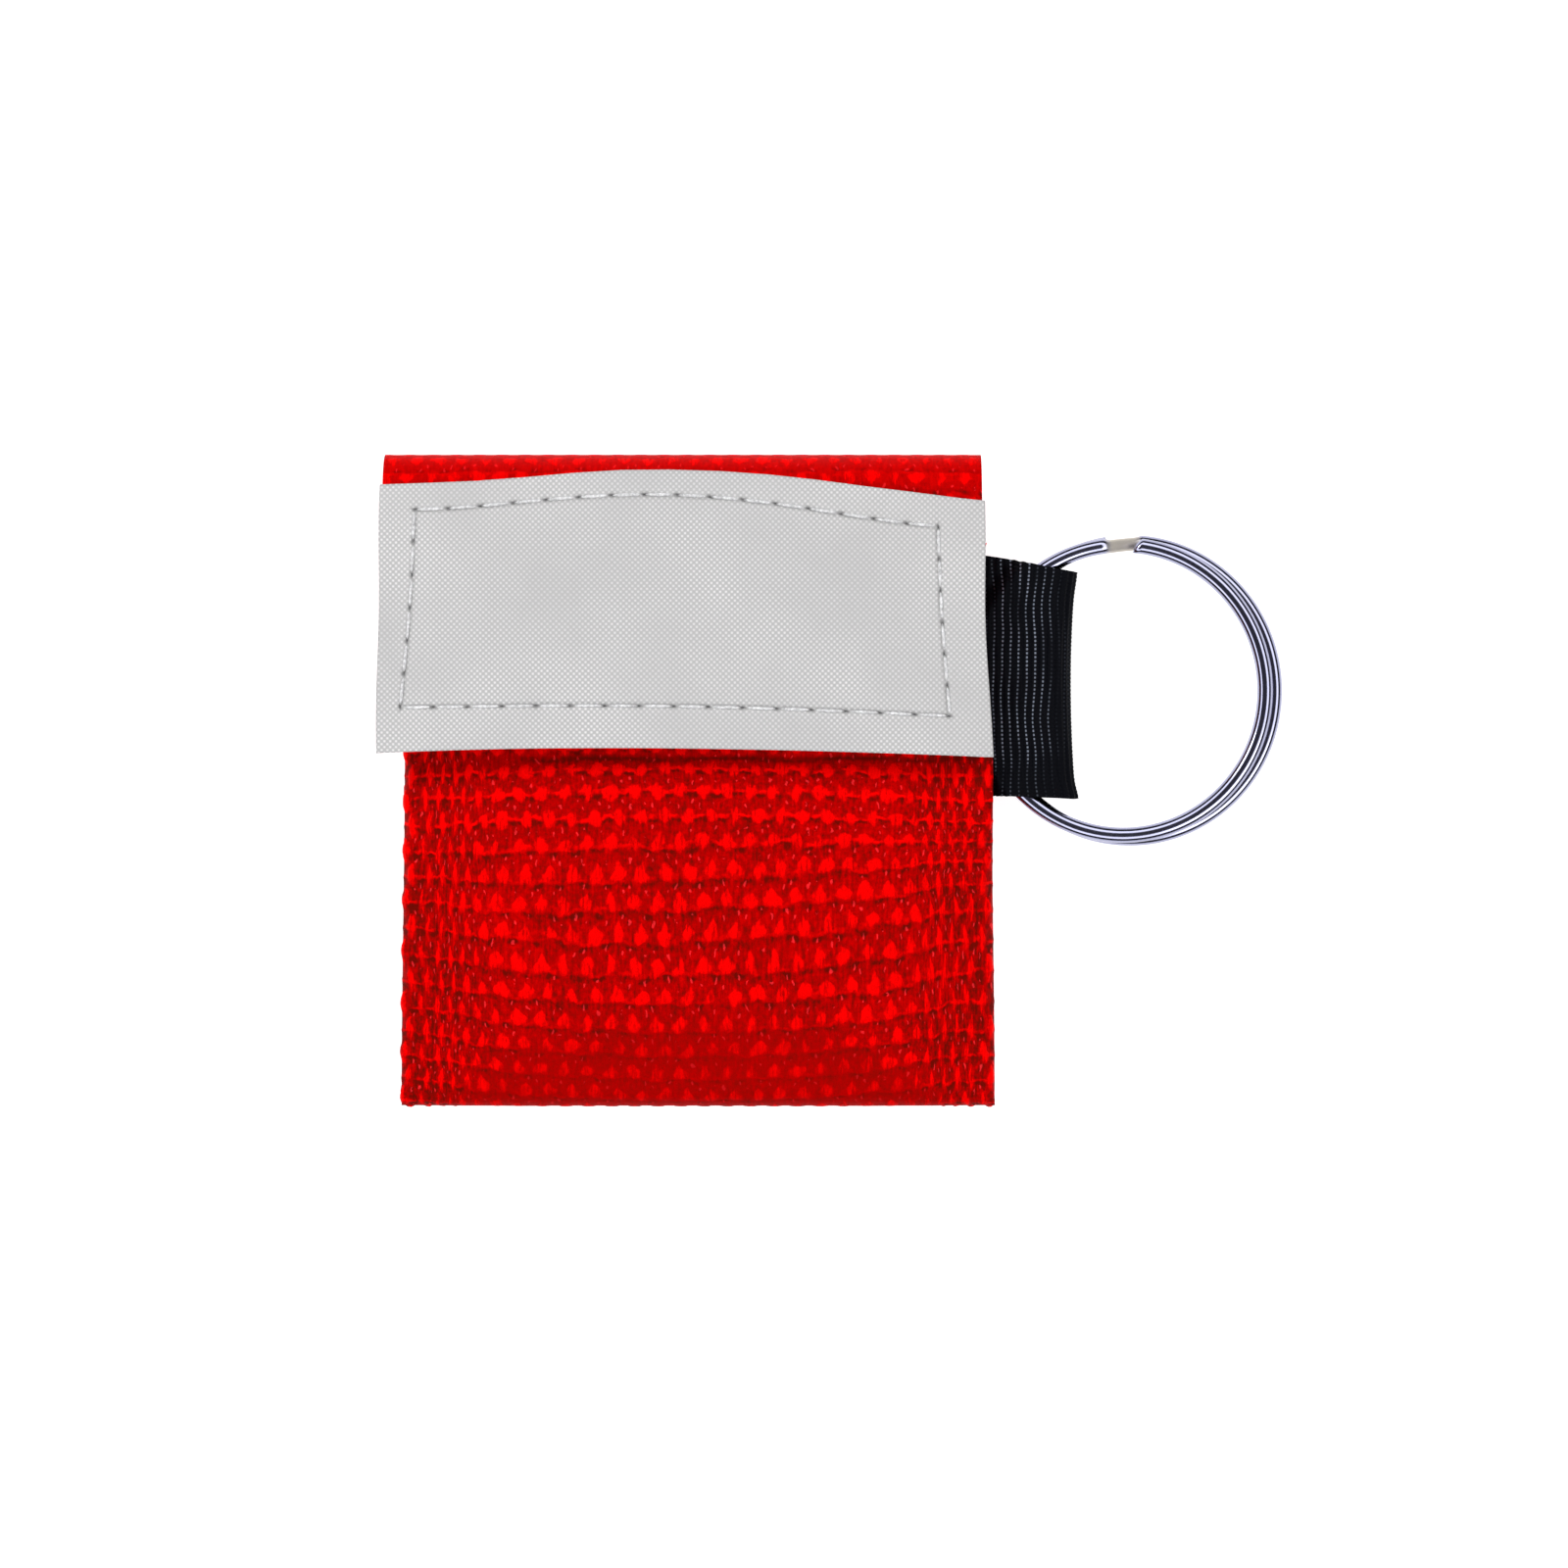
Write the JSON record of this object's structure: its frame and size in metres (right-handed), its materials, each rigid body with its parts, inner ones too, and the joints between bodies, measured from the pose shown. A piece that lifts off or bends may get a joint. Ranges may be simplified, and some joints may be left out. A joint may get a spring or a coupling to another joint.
{
  "type": "key ring pouch",
  "caption": "Flat webbing pouch with a hook-and-loop flap, a plain cloth label, a side tab with a split ring, and a folded barrier film inside.",
  "frame": {"origin": "middle of the flat patch on the outside of the back wall, where the pouch rests", "axes": "+Z out of the front, +Y from the bottom fold to the top fold, +X towards the split ring"},
  "size_m": [0.0764, 0.055, 0.0123],
  "materials": {
    "red_webbing": "coarse woven polypropylene webbing",
    "red_thread": "polyester thread",
    "grey_oxford_cloth": "fine coated plain weave",
    "grey_thread": "polyester thread",
    "hook_and_loop": "nylon hook and loop",
    "black_grosgrain": "ribbed nylon webbing",
    "black_thread": "polyester thread",
    "nickel": "polished nickel plate",
    "clear_film": "folded polyethylene film",
    "white_plastic": "moulded",
    "silicone": "soft, translucent",
    "filter_felt": "non-woven felt",
    "elastic": "round braided elastic"
  },
  "bodies": {
    "pouch": {"pouch_strip": "red_webbing", "side_seam_allowance_left": "red_webbing", "side_seam_allowance_right": "red_webbing", "side_seam_thread_left": "red_thread", "side_seam_thread_right": "red_thread", "loop_tape": "hook_and_loop", "loop_tape_thread": "black_thread"},
    "flap": {"flap_strip": "red_webbing", "flap_label": "grey_oxford_cloth", "flap_label_thread": "grey_thread", "hook_tape": "hook_and_loop"},
    "tab": {"tab_webbing": "black_grosgrain", "tab_thread": "black_thread"},
    "ring": {"split_ring": "nickel"},
    "contents": {"barrier_film": "clear_film", "valve_housing": "white_plastic", "valve_membrane": "silicone", "filter_disc": "filter_felt", "ear_loop_left": "elastic", "ear_loop_right": "elastic"}
  },
  "joints": [
    {"name": "flap_hinge", "type": "hinge", "parent": "pouch", "child": "flap", "pos_m": [0, 0.0275, 0.00558], "axis": [-1, 0, 0], "range_deg": [0, 170]},
    {"name": "tab_flex", "type": "hinge", "parent": "pouch", "child": "tab", "pos_m": [0.0221, 0.0084, 0.00503], "axis": [0, -1, 0], "range_deg": [-10, 10]},
    {"name": "ring_spin", "type": "hinge", "parent": "tab", "child": "ring", "pos_m": [0.03648, 0.0076, 0.00301], "axis": [0.1391, 0, 0.9903], "continuous": true},
    {"name": "contents_slide", "type": "slide", "parent": "pouch", "child": "contents", "axis": [0, 1, 0], "range_m": [0, 0.006]}
  ]
}
